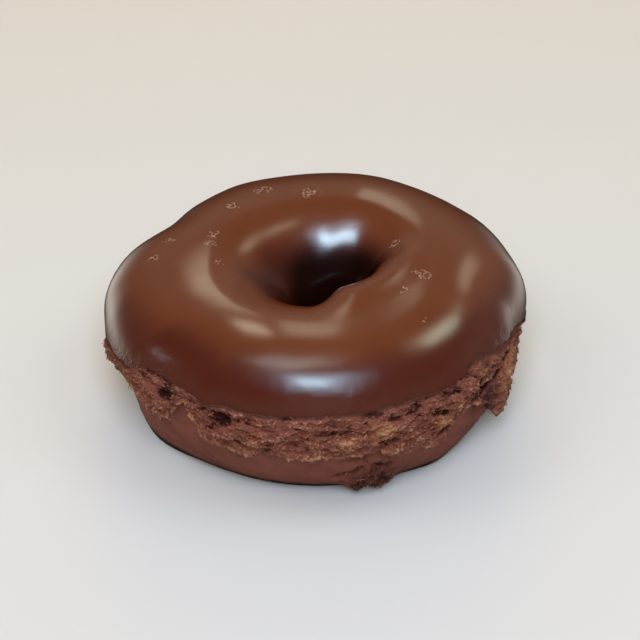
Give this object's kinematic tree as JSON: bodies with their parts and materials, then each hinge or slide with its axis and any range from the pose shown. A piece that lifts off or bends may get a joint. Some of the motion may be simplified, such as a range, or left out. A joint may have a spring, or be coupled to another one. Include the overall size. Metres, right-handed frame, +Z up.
{
  "type": "chocolate cake doughnut",
  "caption": "Round fried cake ring with a small centre hole, a craggy torn side and a smooth glossy coat of chocolate icing over its top.",
  "frame": {"origin": "middle of the outline, on the surface that the doughnut rests on", "axes": "+Z up through the hole, -Y towards the side where the torn lump of crumb hangs down"},
  "size_m": [0.089, 0.09, 0.0319],
  "materials": {
    "crumb": "dark reddish brown fried cake crumb, rough and matt",
    "icing": "smooth glossy chocolate brown icing"
  },
  "bodies": {
    "root": {"cake": "crumb", "icing": "icing"}
  },
  "joints": []
}
